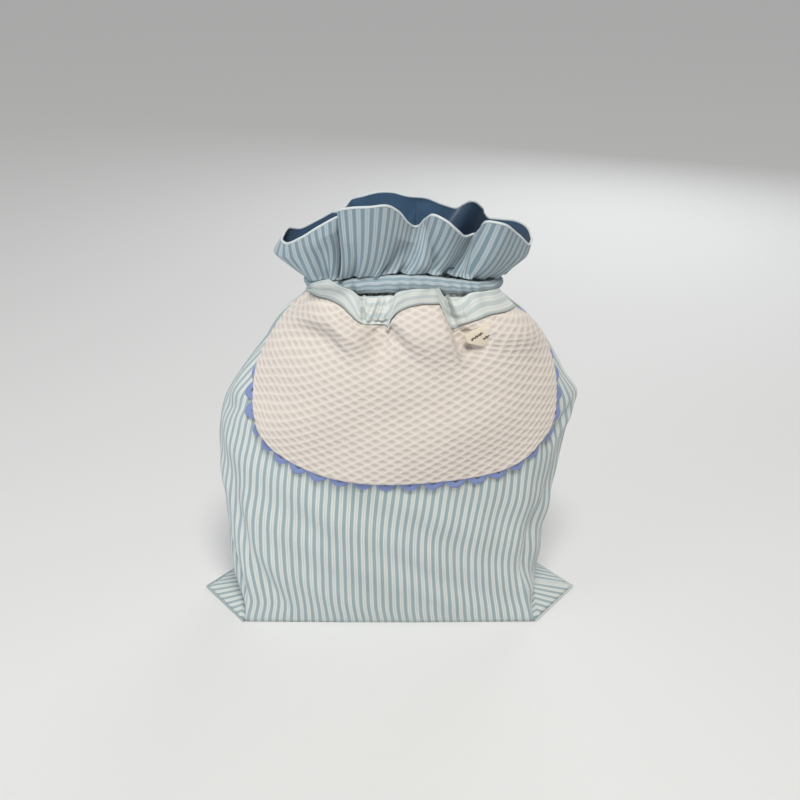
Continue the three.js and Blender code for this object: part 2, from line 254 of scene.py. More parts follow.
def sweep(name, path, radius, sides=8, closed=False):
    """A round cord along a path; a closed path has its two ends welded together."""
    ahead = np.roll(path, -1, axis=0) - np.roll(path, 1, axis=0)
    if not closed:
        ahead[0], ahead[-1] = path[1] - path[0], path[-1] - path[-2]
    ahead /= np.linalg.norm(ahead, axis=1, keepdims=True)
    across = np.cross(ahead, (0.0, 0.0, 1.0))
    across /= np.maximum(np.linalg.norm(across, axis=1, keepdims=True), 1e-9)
    other = np.cross(across, ahead)
    angles = np.linspace(0, 2 * math.pi, sides, endpoint=False)
    ring = across[:, None] * np.cos(angles)[None, :, None] + other[:, None] * np.sin(angles)[None, :, None]
    points = path[:, None] + ring * radius
    if closed:
        points = np.concatenate([points, points[:1]])
    along = path_length(points[:, 0])
    uv = flat_uv(np.arange(sides) * radius * 2 * math.pi / sides, along)
    piece = grid_mesh(name, points, uv, closed=True)
    if closed:
        join(piece)
    return piece


# ---- the gathered walls ----

FINE_FOLDS = {-1: (13, 8, 0.0), 1: (12, 7, 2.1)}  # two families of gathers, and where they start
PANEL_COLUMNS = 260
SHARES = np.linspace(0, 1, 401)
U = np.linspace(0, 1, PANEL_COLUMNS + 1)


def gathers(side, u):
    """Heading of the gathered cloth against the section, before it is scaled to fit."""
    many, few, start = FINE_FOLDS[side]
    drift = 0.22 * np.sin(2 * math.pi * 2.3 * u + start)
    fine = np.sin(2 * math.pi * (many * u + drift))
    return fine + 0.7 * np.sin(2 * math.pi * (few * u - drift) + start)


def sideways_drift(side, u, z):
    """How far stuffed cloth creeps along the section, so that its stripes wave."""
    left = 0.0042 * bell(u, 0.16, 0.13) * np.sin(2 * math.pi * z / 0.19 + 0.8)
    right = 0.0030 * bell(u, 0.88, 0.12) * np.sin(2 * math.pi * z / 0.23 + 2.9)
    middle = 0.0011 * np.sin(2 * math.pi * (z / 0.14 + 1.5 * u))
    return (left + right + middle) * smoothstep(0.0, 0.03, z) * (1 - smoothstep(0.3, 0.34, z)) * -side


def wall_row(side, u, z, full=True):
    """Points of one half of the sack at a height, with its cloth gathered to fit the section."""
    x, depth = section_at(SHARES, z)
    along = path_length(np.stack([x, depth], axis=1))
    ratio = min(along[-1] / CLOTH_WIDTH, 1.0)
    heading = gathers(side, u)
    low, high = 0.0, 2.2
    for _ in range(24):
        middle = (low + high) / 2
        if np.cos(middle * heading).mean() > ratio:
            low = middle
        else:
            high = middle
    gain = smoothstep(0.275, 0.352, z) if full else 0.0
    turn = low * heading * gain
    step = np.gradient(u) * CLOTH_WIDTH
    place = np.cumsum(np.cos(turn) * step)
    place = (place - place[0]) / (place[-1] - place[0]) * along[-1]
    place = place + sideways_drift(side, u, z)
    reach = np.cumsum(np.sin(turn) * step)
    reach -= reach[0] + (reach[-1] - reach[0]) * u
    reach -= reach.max() * (1.0 if side < 0 else 0.55)
    share = np.interp(place, along, SHARES)
    at_seam = np.minimum(1, np.minimum(u, 1 - u) / 0.02)
    under_flap = -0.006 * bell(share, 0.52, 0.26) * smoothstep(0.28, 0.33, z) if side < 0 else 0.0
    return surface(side, share, z, (reach + under_flap) * at_seam)


WALL_ZS = np.concatenate([np.linspace(0, 0.27, 66), np.linspace(0.274, RUFFLE_Z, 40)])
RUFFLE_ROWS = 40


def meridian(zs):
    """Length of cloth from the ground up to each height, by the walls' mean slope."""
    slope = np.hypot(np.diff(HALF_WIDTH(zs)), np.diff(HALF_DEPTH(zs))) / math.sqrt(2)
    return np.concatenate([[0], np.cumsum(np.hypot(np.diff(zs), slope))])


def base_rows(side, u):
    """The boxed base and its ear: the rows of cloth from the base seam out to the front edge."""
    half, tuck = CLOTH_WIDTH / 2, BASE_DEPTH / 2
    shrink = (EAR_TIP - (half - tuck)) / tuck
    rows, vs = [], np.linspace(0, tuck, 15)[:-1]
    across = u * CLOTH_WIDTH
    for v in vs:
        edge = np.minimum(across, CLOTH_WIDTH - across)
        on_ear = edge < v
        sign = np.where(u < 0.5, -1, 1)
        ear_x = half - tuck + (tuck - v) * shrink
        flat_x = np.where(edge < tuck, half - tuck + (tuck - edge) * shrink, half - edge)
        x = sign * np.where(on_ear, ear_x, flat_x)
        y = np.where(on_ear, edge, v)
        inner = np.clip((v - edge) / tuck, 0, 1)
        lift = 0.0012 + 0.009 * inner ** 0.7 * (v / tuck) ** 2 + 0.003 * np.sin(math.pi * inner)
        rows.append(np.stack([x, side * y, np.where(on_ear, lift, 0.0)], axis=1))
    return np.array(rows), vs


def wrinkles(u, v, seed):
    """Soft unevenness of stuffed cloth, along its normal, in metres."""
    waves = np.random.default_rng(seed)
    total = np.zeros(np.broadcast(u, v).shape)
    for _ in range(14):
        wide, tall = waves.uniform(6, 26), waves.uniform(2, 14)
        phase, lean = waves.uniform(0, 2 * math.pi), waves.uniform(-9, 9)
        total += np.sin(2 * math.pi * (wide * u + (tall + lean) * v) + phase) / wide
    return total * 0.0052


# Soft creases: side, start and end as (u share, height), depth and half width, in metres.
CREASES = [
    (-1, (0.10, 0.155), (0.24, 0.010), -0.0042, 0.0085),
    (-1, (0.05, 0.100), (0.13, 0.020), -0.0030, 0.0070),
    (-1, (0.93, 0.190), (0.84, 0.030), -0.0036, 0.0090),
    (-1, (0.99, 0.245), (0.86, 0.205), -0.0034, 0.0060),
    (-1, (0.03, 0.235), (0.16, 0.250), -0.0026, 0.0070),
    (1, (0.08, 0.170), (0.22, 0.020), -0.0042, 0.0090),
    (1, (0.90, 0.200), (0.80, 0.040), -0.0038, 0.0090),
    (1, (0.35, 0.330), (0.30, 0.240), -0.0050, 0.0080),
    (1, (0.66, 0.330), (0.72, 0.235), -0.0045, 0.0080),
    (1, (0.50, 0.325), (0.51, 0.250), -0.0030, 0.0070),
]


def creases(side, u, z):
    """Depth of the listed soft creases at places on the cloth."""
    total = np.zeros(np.broadcast(u, z).shape)
    for on_side, start, end, depth, width in CREASES:
        if on_side != side:
            continue
        ax, az = start[0] * CLOTH_WIDTH, start[1]
        bx, bz = end[0] * CLOTH_WIDTH, end[1]
        length = math.hypot(bx - ax, bz - az)
        dx, dz = (bx - ax) / length, (bz - az) / length
        rx, rz = u * CLOTH_WIDTH - ax, z - az
        along = np.clip((rx * dx + rz * dz) / length, -0.3, 1.3)
        across = rx * -dz + rz * dx
        fade = smoothstep(-0.15, 0.25, along) * (1 - smoothstep(0.7, 1.1, along))
        total += depth * fade * (bell(across, 0, width) - 0.5 * bell(across, 2.1 * width, width))
    return total


def rim(side, u):
    """The ruffle's rim at shares of its length, from its listed points."""
    points = np.array(RIMS[side], float) / 1000
    share = path_length(points) / path_length(points)[-1]
    curve = np.stack([spline(share, points[:, k])(np.linspace(0, 1, 900)) for k in range(3)], axis=1)
    places = path_length(curve) / path_length(curve)[-1]
    return points_along(curve, places, u)


# Sharp pleats of the ruffle: side, place at the foot and at the rim, depth, and widths to the left
# and right; a pleat is deepest a third of the way up and dies out at the height given last.
PLEATS = (
    (-1, 0.645, 0.540, 0.0165, 0.026, 0.070, 1.10), (-1, 0.825, 0.790, 0.0140, 0.070, 0.020, 1.05),
    (-1, 0.430, 0.480, 0.0115, 0.016, 0.050, 0.66), (-1, 0.340, 0.300, 0.0045, 0.040, 0.016, 0.55),
    (-1, 0.225, 0.205, 0.0125, 0.045, 0.012, 0.80), (-1, 0.120, 0.140, 0.0050, 0.020, 0.035, 0.70),
    (-1, 0.740, 0.730, 0.0040, 0.030, 0.018, 0.50), (-1, 0.550, 0.520, 0.0040, 0.018, 0.030, 0.45),
    (1, 0.180, 0.200, 0.0060, 0.030, 0.060, 0.80), (1, 0.330, 0.300, 0.0050, 0.050, 0.020, 0.70),
    (1, 0.470, 0.490, 0.0070, 0.025, 0.060, 0.90), (1, 0.620, 0.640, 0.0050, 0.050, 0.020, 0.60),
    (1, 0.790, 0.770, 0.0060, 0.022, 0.050, 0.80),
)


def pleats(side, u, t):
    """How far the ruffle's pleats draw in at a height of t."""
    depth = np.zeros(len(u))
    for where, foot, top, deep, left, right, end in PLEATS:
        if where != side or t >= end:
            continue
        middle = mix(foot, top, t)
        width = np.where(u < middle, left, right) * (0.6 + 0.8 * t)
        strength = math.sin(math.pi * (t / end) ** 0.7) ** 0.8 * smoothstep(0, 0.12, t)
        depth += deep * strength * np.exp(-(np.abs(u - middle) / width) ** 1.1)
    return depth


def smoothed(u, values, width):
    """Values along u, averaged over a width, with the ends kept."""
    weights = np.exp(-(((u[:, None] - u[None, :]) / width) ** 2))
    broad = weights @ values / weights.sum(axis=1, keepdims=True)
    at_ends = bell(u, 0, width)[:, None] * (values[0] - broad[0]) + bell(u, 1, width)[:, None] * (
        values[-1] - broad[-1])
    return broad + at_ends


def ruffle(side, u):
    """The rows of the ruffle above the casing, and how far up it each lies from 0 to 1."""
    gathered = wall_row(side, u, RUFFLE_Z)
    plain_row = wall_row(side, u, RUFFLE_Z, full=False)
    top = rim(side, u)
    flare = smoothed(u, top, 0.085)
    folds = top - flare
    foot = surface(side, u, RUFFLE_Z - 0.0035, 0.0066)
    out = surface(side, u, RUFFLE_Z, 0.001) - surface(side, u, RUFFLE_Z)
    out /= np.linalg.norm(out, axis=1, keepdims=True)
    puffs = 0.5 + 0.5 * np.sin(2 * math.pi * 24 * u + 2.2 * np.sin(2 * math.pi * 3 * u + side))
    rows, shares = [], np.linspace(0, 1, RUFFLE_ROWS + 1)[1:] ** 1.15
    for t in shares:
        row = mix(foot, flare, t ** np.array([0.92, 0.90, 1.0]))
        row = mix(gathered, row, smoothstep(0, 0.05, t))
        row += folds * np.array([1, 1, t]) * t ** 0.42
        fine = 0.6 * (gathered - plain_row) + 0.0026 * (puffs[:, None] - 0.7) * out
        row += fine * math.exp(-t / 0.30) * (1 - t) * smoothstep(0, 0.06, t)
        row -= pleats(side, u, t)[:, None] * out
        sag = (t / 0.62) ** 1.2 if t < 0.62 else max((1 - t) / 0.38, 0)
        ends = WING_BULGE[0] * bell(u, 0, 0.06) + WING_BULGE[1] * bell(u, 1, 0.085)
        row[:, 0] += ends * sag
        rows.append(row)
    return np.array(rows), shares


def shaped_panel(side):
    """A body panel's outer face as a grid of points, with each row's v and the base's rows."""
    base, base_v = base_rows(side, U)
    walls = np.array([wall_row(side, U, z) for z in WALL_ZS])
    frill, frill_share = ruffle(side, U)
    wall_v = BASE_DEPTH / 2 + meridian(WALL_ZS)
    v = np.concatenate([base_v, wall_v, wall_v[-1] + RUFFLE_HEIGHT * frill_share])
    points = np.concatenate([base, walls, frill])
    heights = np.concatenate([np.zeros(len(base)), WALL_ZS, np.full(len(frill), RUFFLE_Z)])[:, None]
    fade = smoothstep(0.003, 0.04, heights) * (1 - smoothstep(0.33, 0.352, heights))
    at_seams = smoothstep(0, 0.04, U) * smoothstep(0, 0.04, 1 - U)
    bump = wrinkles(U[None, :] * CLOTH_WIDTH, v[:, None], 11 + side) + creases(side, U[None, :], heights)
    points = points + grid_normals(points) * (bump * fade * at_seams)[..., None]
    points[..., 0] += 0.009 * bell(U, 1, 0.05) * bell(heights, 0.243, 0.016)  # a pinch of the side
    up_frill = np.concatenate([np.zeros(len(base) + len(walls)), frill_share])
    in_neck = smoothstep(0.335, 0.36, heights[:, 0]) * (1 - smoothstep(0.12, 0.55, up_frill))
    return v, points, in_neck, len(base)


def inside_gathers(side, row):
    """The lining's row behind a gathered one: smoother, and just inside its innermost folds."""
    reach = 12  # columns, about half a fold
    depth = side * row[:, 1]
    innermost = np.array([depth[max(0, k - reach):k + reach + 1].min() for k in range(len(depth))])
    even = smoothed(U, np.stack([row[:, 0], innermost, row[:, 2]], axis=1), 0.045)
    gap = NECK_INSET + 0.0010 * np.sin(2 * math.pi * 19 * U)
    even[:, 1] = side * np.maximum(even[:, 1] - gap * np.minimum(1, np.minimum(U, 1 - U) / 0.04), 0)
    even[:, 0] += NECK_INSET * (bell(U, 0, 0.06) - bell(U, 1, 0.06))
    return even


def panel_grids(side):
    """A panel's outer face, its lining's face and their flat coordinates."""
    v, points, in_neck, base_count = shaped_panel(side)
    inner = points - grid_normals(points) * LINING_GAP
    for row in np.nonzero(in_neck)[0]:
        inner[row] = mix(inner[row], inside_gathers(side, points[row]), in_neck[row])
        inner[row, :, 2] += NECK_LIFT * in_neck[row] * (row >= base_count + np.searchsorted(WALL_ZS, NECK_Z))
    inner[:, 0, 1], inner[:, -1, 1] = 0, 0
    return points, inner, flat_uv(U * CLOTH_WIDTH, v), base_count


# ---- the neck casing ----

RING_COLUMNS = 520
CASING_GATHERS = 33
CASING_ROWS = 14
CASING_DEPTH = 0.028  # of its strip, flat


def neck_ring(z, outside):
    """Points right round the neck, from the -X seam over the front and back over the back."""
    half = np.linspace(0, 1, RING_COLUMNS // 2 + 1)
    front = surface(-1, half, z, outside[:len(half)])
    return np.concatenate([front, surface(1, half[-2:0:-1], z, outside[len(half):])])


def casing_ripple():
    """The casing's own gathers round the neck, from 0 to 1."""
    w = np.arange(RING_COLUMNS) / RING_COLUMNS
    drift = 1.6 * np.sin(2 * math.pi * 3 * w) + 1.0 * np.sin(2 * math.pi * 7 * w + 1)
    return 0.5 + 0.5 * np.sin(2 * math.pi * CASING_GATHERS * w + drift)


def make_casing():
    """A crosswise strip that bulges over the drawcord, sewn down along both its edges."""
    ripple = casing_ripple()
    rows = []
    for t in np.linspace(0, 1, CASING_ROWS):
        swell = math.sin(math.pi * t) ** 0.7
        outside = 0.0007 + 0.0074 * swell + 0.0019 * (ripple - 0.5) * (0.25 + swell)
        rows.append(neck_ring(mix(CASING_LOW, CASING_HIGH, t), outside))
    points = np.array(rows)
    points = np.concatenate([points, points[:, :1]], axis=1)
    uv = flat_uv(np.arange(RING_COLUMNS + 1) * 2 * CLOTH_WIDTH / RING_COLUMNS,
                 np.linspace(0, CASING_DEPTH, CASING_ROWS))
    piece = grid_mesh("neck_casing_cloth", points, uv)
    join(piece)
    return thicken(piece, 0.0008)


def stitches(name, path, spacing=0.0034, length=0.0025, radius=0.00028):
    """A row of short sewn stitches along a path."""
    along = path_length(path)
    places = np.arange(spacing / 2, along[-1], spacing)
    sides, rings = 6, ((-1.0, 0.15), (-0.6, 1.0), (0.6, 1.0), (1.0, 0.15))
    points, faces = [], []
    for place in places:
        middle = points_along(path, along, place)
        ahead = points_along(path, along, place + length / 2) - middle
        ahead /= max(np.linalg.norm(ahead), 1e-9)
        across = np.cross(ahead, (0.0, 0.0, 1.0))
        across /= max(np.linalg.norm(across), 1e-9)
        other = np.cross(across, ahead)
        first = len(points)
        for step, size in rings:
            for k in range(sides):
                turn = 2 * math.pi * k / sides
                out = across * math.cos(turn) + other * math.sin(turn)
                points.append(middle + ahead * step * length / 2 + out * radius * size)
        for ring in range(len(rings) - 1):
            for k in range(sides):
                a, b = first + ring * sides + k, first + ring * sides + (k + 1) % sides
                faces.append((a, b, b + sides, a + sides))
        faces.append(tuple(first + k for k in reversed(range(sides))))
        faces.append(tuple(first + (len(rings) - 1) * sides + k for k in range(sides)))
    return add_piece(name, [tuple(p) for p in points], faces)


# ---- the flap ----

FLAP_TOP_Z = 0.347
FLAP_SHIFT = 0.04  # of the flap's middle from the sack's, in q
CORNER_WIDTH = 0.135  # of cloth for 1 of q
# The flap's edge as it would lie with a straight seam, from its -X top corner round the bottom to
# the other: q across and height.
FLAP_OUTLINE = np.array([
    (-1.41, 0.347), (-1.41, 0.330), (-1.38, 0.317), (-1.33, 0.303), (-1.23, 0.283), (-1.155, 0.264),
    (-1.02, 0.236), (-0.85, 0.215), (-0.61, 0.197), (-0.32, 0.188), (0.14, 0.1855), (0.48, 0.1875),
    (0.72, 0.193), (0.93, 0.207), (1.03, 0.2265), (1.11, 0.256), (1.165, 0.280), (1.22, 0.298),
    (1.255, 0.314), (1.26, 0.330), (1.23, 0.347),
])
BOTTOM_SHARE = 0.55  # of the edge that is the bottom side of the flap's grid
HANG = 0.0062  # from the sack to the flap
# Puckers under the seam: place, drift in q per metre down, widths to the left and right, depth.
PUCKERS = ((-0.250, 4.8, 0.15, 0.052, 1.0), (0.400, 3.4, 0.046, 0.17, 0.9))
# Broad swells of the flap: how far out, place and width in q, place and width below the seam.
FLAP_SWELLS = (
    (-0.0062, -0.86, 0.30, 0.030, 0.012), (0.0045, -0.50, 0.45, 0.058, 0.022),
    (0.0036, 0.80, 0.30, 0.052, 0.026))

# The seam between the yoke and the flap: height along it.
SEAM = spline(
    (-1.40, -1.06, -0.79, -0.62, -0.45, -0.32, -0.215, -0.175, -0.09, 0.03, 0.18, 0.335, 0.388, 0.475,
     0.67, 0.96, 1.30),
    (0.3640, 0.3638, 0.3579, 0.3493, 0.3405, 0.3374, 0.3364, 0.3455, 0.3520, 0.3558, 0.3576, 0.3578,
     0.3322, 0.3357, 0.3427, 0.3475, 0.3470), steady=True)


def over_front(q, z, outside):
    """A point over the front: q is 0 at the flap's middle, 1 about at the sack's corner line."""
    share = 0.5 + (np.asarray(q) + FLAP_SHIFT) * (0.5 - CORNER_SHARE)
    return surface(-1, np.clip(share, 0, 1), z, outside)


def flap_outline():
    """Even points along the flap's edge, softened, and their outward directions, in (q, z)."""
    metric = FLAP_OUTLINE * [CORNER_WIDTH, 1]
    along = path_length(metric)
    fine = np.linspace(0, along[-1], 801)
    points = np.stack([spline(along, metric[:, k])(fine) for k in (0, 1)], axis=1)
    points = smoothed(np.linspace(0, 1, 801), points, 0.035)
    ahead = np.gradient(points, axis=0)
    out = np.stack([ahead[:, 1], -ahead[:, 0]], axis=1)
    out /= np.linalg.norm(out, axis=1, keepdims=True)
    return np.linspace(-1, 1, 801), points, out


def flap_edge(turn, grow=0.0):
    """The flap's edge in (q, z), from one top corner (-1) round the bottom (0) to the other (1)."""
    turns, points, out = OUTLINE
    place = points_along(points, turns, turn) + np.asarray(grow)[..., None] * points_along(out, turns, turn)
    return place[..., 0] / CORNER_WIDTH, place[..., 1]


OUTLINE = flap_outline()


def flap_grid(columns, rows, setback=0.0):
    """The flap's own grid in (q, z): its rows run across it, from the seam to the bottom edge."""
    bottom = np.stack(flap_edge(np.linspace(-BOTTOM_SHARE, BOTTOM_SHARE, columns), -setback))
    left = np.stack(flap_edge(np.linspace(-1, -BOTTOM_SHARE, rows), -setback))
    right = np.stack(flap_edge(np.linspace(1, BOTTOM_SHARE, rows), -setback))
    top = np.stack([np.linspace(left[k, 0], right[k, 0], columns) for k in (0, 1)])
    a, v = np.linspace(0, 1, columns)[None, None, :], np.linspace(0, 1, rows)[None, :, None]
    between = mix(top[:, None, :], bottom[:, None, :], v) + mix(left[:, :, None], right[:, :, None], a)
    corners = mix(mix(top[:, :1, None], top[:, -1:, None], a),
                  mix(bottom[:, :1, None], bottom[:, -1:, None], a), v)
    q, z = between - corners
    return q, z


def pucker(q, below):
    """How deep in a pucker a place is, from 0 to 1; below is its distance under the seam."""
    total = 0.0
    for place, drift, left, right, depth in PUCKERS:
        middle = place + drift * np.maximum(below, 0)
        width = np.where(q < middle, left, right) * (1 + np.maximum(below, 0) / 0.03)
        fade = 1 - smoothstep(0.012, 0.066, below)
        total = total + depth * bell(q, middle, width) * fade
    return np.minimum(total, 1)


def seam_stand(q):
    """How far the seam between the yoke and the flap stands off the sack."""
    return 0.0014 + 0.0118 * (1 - pucker(q, 0.0)) - 0.007 * smoothstep(1.0, 1.36, np.abs(q))


def hang(q, z):
    """How the flap hangs at places of its grid: their heights, and how far off the sack they are."""
    near_seam = 1 - smoothstep(0, 0.062, FLAP_TOP_Z - z)
    return z + (SEAM(q) - FLAP_TOP_Z) * near_seam, mix(HANG, seam_stand(q), near_seam)


def flap_surface(q, z):
    """Points of the flap's outer face for its grid."""
    below = FLAP_TOP_Z - z
    height, outside = hang(q, z)
    dips = pucker(q, below)
    sides = 1 - smoothstep(1.0, 1.3, np.abs(q))
    crest = mix(0.012, 0.021, smoothstep(-0.75, -0.35, q))
    fullness = (1 - dips) * (0.25 + 0.75 * sides) * smoothstep(0, 0.007, below)
    lobes = 0.0090 * bell(below, crest, crest) * fullness
    drape = 0.0014 * np.sin(5.3 * q + 55 * below) * smoothstep(0.06, 0.10, below)
    outside = outside + lobes
    for swell, place, width, down, height_width in FLAP_SWELLS:
        outside = outside + swell * bell(q, place, width) * bell(below, down, height_width)
    outside = outside + drape - 0.0066 * dips * smoothstep(0, 0.008, below)
    return over_front(q, height, np.maximum(outside, 0.0010))


def flap_flat(points):
    """Flat cloth coordinates of a flap's grid: along its rows from the middle, and down its columns."""
    across = np.linalg.norm(np.diff(points, axis=1), axis=2)
    s = np.concatenate([np.zeros((len(points), 1)), np.cumsum(across, axis=1)], axis=1)
    s -= s[:, s.shape[1] // 2][:, None]
    down = np.linalg.norm(np.diff(points, axis=0), axis=2)
    t = np.concatenate([np.zeros((1, points.shape[1])), np.cumsum(down, axis=0)])
    settled = int(len(points) * 0.62)  # the first rows hang in folds, so lengths count from below them
    return s, t - t[settled] + t[settled].mean()


WAFFLE_WIDTH, WAFFLE_HEIGHT, WAFFLE_DEPTH = 0.0146, 0.0081, 0.0013
FLAP_COLUMNS, FLAP_ROWS = 361, 216


def waffle(s, t):
    """Relief of the waffle weave, from 0 in a cell to 1 on its raised ridges."""
    a, b = s / WAFFLE_WIDTH + t / WAFFLE_HEIGHT, s / WAFFLE_WIDTH - t / WAFFLE_HEIGHT
    return 1 - (np.abs(np.sin(math.pi * a)) * np.abs(np.sin(math.pi * b))) ** 0.75


def edge_distance(points):
    """Distance of each grid point from the flap's sides and bottom, measured on the cloth."""
    s, t = flap_flat(points)
    to_side = np.minimum(s - s[:, :1], s[:, -1:] - s)
    return np.minimum(to_side, np.minimum(t[-1:] - t, t - t[:1] + 0.0006))


def make_flap_panel():
    q, z = flap_grid(FLAP_COLUMNS, FLAP_ROWS)
    smooth = flap_surface(q, z)
    s, t = flap_flat(smooth)
    rim_gap = edge_distance(smooth)
    relief = WAFFLE_DEPTH * (waffle(s, t) - 0.5) * smoothstep(0.0008, 0.0040, rim_gap)
    rolled = -0.0021 * (1 - smoothstep(0, 0.0030, rim_gap)) ** 1.5
    points = smooth + grid_normals(smooth) * (relief + rolled)[..., None]
    piece = hanging_mesh("flap_panel_cloth", points, np.stack([s, t], axis=-1))
    return thicken(piece, 0.0016)


BACKING_GAP, BACKING_SETBACK = 0.0036, 0.003  # behind the flap's outer face, and in from its edge


def make_backing():
    q, z = flap_grid(181, 108, setback=BACKING_SETBACK)
    points = flap_surface(q, z)
    points = points - grid_normals(points) * BACKING_GAP
    return thicken(hanging_mesh("flap_backing_cloth", points, np.stack(flap_flat(points), axis=-1)), 0.0006)


YOKE_COLUMNS, YOKE_ROWS = 300, 24
YOKE_DEPTH = 0.032  # of its cloth, from the casing to the flap
YOKE_TOP_Z = 0.3622
# How high the yoke's roll stands along it, and how far out.
YOKE_CREST = spline(
    (-1.36, -1.12, -1.01, -0.90, -0.80, -0.73, -0.63, -0.53, -0.45, -0.37, -0.25, -0.19, -0.13, -0.02, 0.15,
     0.30, 0.37, 0.43, 0.50, 0.64, 0.84, 1.01, 1.17, 1.35),
    (0.3660, 0.3825, 0.3875, 0.3885, 0.3845, 0.3785, 0.3706, 0.3610, 0.3500, 0.3450, 0.3450, 0.3570, 0.3675,
     0.3705, 0.3722, 0.3728, 0.3715, 0.3625, 0.3605, 0.3635, 0.3715, 0.3725, 0.3700, 0.3620), steady=True)


# Tucks in the yoke's puckers: place at the top and at the seam, and depth.
YOKE_TUCKS = ((-0.32, -0.38, 0.0090), (-0.53, -0.43, 0.0080), (-0.21, -0.24, 0.0050), (0.47, 0.43, 0.0070))


def make_yoke():
    """The crosswise strip that rolls out over the casing and down to the flap, with its puckers."""
    q = np.linspace(float(flap_edge(-1)[0]), float(flap_edge(1)[0]), YOKE_COLUMNS)
    open_ = 1 - pucker(q, 0.0)
    ripple = 0.5 + 0.5 * np.sin(31 * q + 1.3 * np.sin(9 * q))
    seam_z, crest = SEAM(q), YOKE_CREST(q)
    roll = np.sqrt(np.maximum(crest - YOKE_TOP_Z, 0) * np.maximum(crest - seam_z, 0))
    middle_z = np.where(crest > YOKE_TOP_Z, crest + roll, np.maximum(crest, seam_z + 0.004))
    ends = 1 - 0.80 * smoothstep(1.0, 1.34, np.abs(q))
    start_out = 0.0040 + 0.0012 * ripple
    middle_out = mix(0.0022, 0.0245, open_) * ends + 0.006 * bell(q, -0.92, 0.22)
    middle_out -= 0.004 * bell(q, 0.63, 0.12)  # over the label
    rows = []
    for t in np.linspace(0, 1, YOKE_ROWS):
        a, b, c = (1 - t) ** 2, 2 * t * (1 - t), t * t
        outside = a * start_out + b * middle_out + c * seam_stand(q)
        height = a * YOKE_TOP_Z + b * middle_z + c * seam_z
        ridges = np.abs(np.sin(25 * q + 2 * t)) ** 0.8
        creased = 0.0005 * np.sin(27 * q + 6 * t) + 0.0075 * (1 - open_) * ridges
        for top, bottom, deep in YOKE_TUCKS:
            creased -= deep * bell(q, mix(top, bottom, t), 0.024)
        crumple = math.sin(math.pi * t) ** 0.6 * creased - 0.0035 * bell(t, 0.84, 0.07) * (1 - open_)
        rows.append(over_front(q, height, outside + crumple))
    points = np.array(rows)
    down = path_length(points[:, YOKE_COLUMNS // 2])
    uv = flat_uv((q - q[0]) * CORNER_WIDTH, down * YOKE_DEPTH / down[-1])
    return thicken(hanging_mesh("flap_yoke_cloth", points, uv), 0.0010)


RICKRACK_WAVES, RICKRACK_STEPS = 28, 18
RICKRACK = dict(middle=0.0016, wave=0.0034, half_width=0.0030, tucked=0.0064)


def make_rickrack():
    """A wavy braid of even width, whose outer crests show beyond the flap's edge."""
    length = path_length(OUTLINE[1])[-1]
    turns = np.linspace(-0.985, 0.985, RICKRACK_WAVES * RICKRACK_STEPS + 1)
    phase = np.linspace(0, 2 * math.pi * RICKRACK_WAVES, len(turns))
    wave = RICKRACK["middle"] - RICKRACK["wave"] * np.cos(phase)
    wave -= RICKRACK["tucked"] * (1 - smoothstep(-0.80, -0.68, turns))  # further under near the -X corner
    slope = RICKRACK["wave"] * np.sin(phase) * 2 * math.pi * RICKRACK_WAVES / (0.985 * length)
    tilt = 1 / np.hypot(1, slope)
    rows, places = [], np.linspace(-1, 1, 9)
    for place in places:
        step = place * RICKRACK["half_width"] * tilt
        q, z = flap_edge(turns - step * slope * 2 / length, wave + step)
        height, outside = hang(q, z)
        rows.append(over_front(q, height, outside - 0.0031 + 0.0006 * (1 - place ** 2) ** 0.5))
    points = np.array(rows)
    uv = flat_uv(path_length(points[4]), places * RICKRACK["half_width"])
    return thicken(hanging_mesh("rickrack_braid", points, uv), 0.0011)


# ---- the label ----

LABEL_PLACE = (0.618, 0.3368)  # q and height of the middle of its top edge
LABEL_SIZE = (0.026, 0.0195)
LABEL_TILT = 0.40
LABEL_STAND = 0.0149  # from the sack to its sewn edge
LABEL_INK = 0.0006
# Short scribbles on the label, without any lettering: distance down it, start and end across.
LABEL_MARKS = ((0.0056, -0.0090, 0.0030), (0.0112, 0.0015, 0.0085))


def make_label():
    """A folded tape sewn in at its top, which stands a little off the flap, and its marks."""
    place, height = LABEL_PLACE
    top = over_front(place, height, LABEL_STAND)
    along = over_front(place + 0.05, height, LABEL_STAND) - top
    along /= np.linalg.norm(along)
    out = over_front(place, height, LABEL_STAND + 0.01) - top
    out -= along * (out @ along)
    out /= np.linalg.norm(out)
    up = np.cross(out, along)
    up *= np.sign(up[2])
    turned = along * math.cos(LABEL_TILT) + up * math.sin(LABEL_TILT)
    drop = along * math.sin(LABEL_TILT) - up * math.cos(LABEL_TILT)

    def at(s, t, above=0.0):
        stand = above + 0.0010 + 0.12 * t + 0.0016 * np.sin(math.pi * t / LABEL_SIZE[1]) - 1.6 * s ** 2
        return top + s[..., None] * turned + t[..., None] * drop + stand[..., None] * out

    s, t = np.meshgrid(np.linspace(-0.5, 0.5, 33), np.linspace(0, 1, 25))
    t *= 0.42 + 0.58 * np.minimum(1, (s + 0.5) / 0.5)  # its lower corner is turned under
    s, t = s * LABEL_SIZE[0], t * LABEL_SIZE[1]
    tape = thicken(hanging_mesh("label_tape", at(s, t), np.stack([s, t], axis=-1)), 0.0010)
    marks = []
    for row, (down, start, end) in enumerate(LABEL_MARKS):
        across = np.linspace(start, end, 61)
        scribble = down + 0.0011 * np.sin(across * 2900) * np.sin(across * 700 + 1) - 0.12 * across
        marks.append(sweep(f"label_mark_{row}", at(across, scribble, LABEL_INK), 0.00036, sides=6))
    return tape, marks


# ---- materials ----

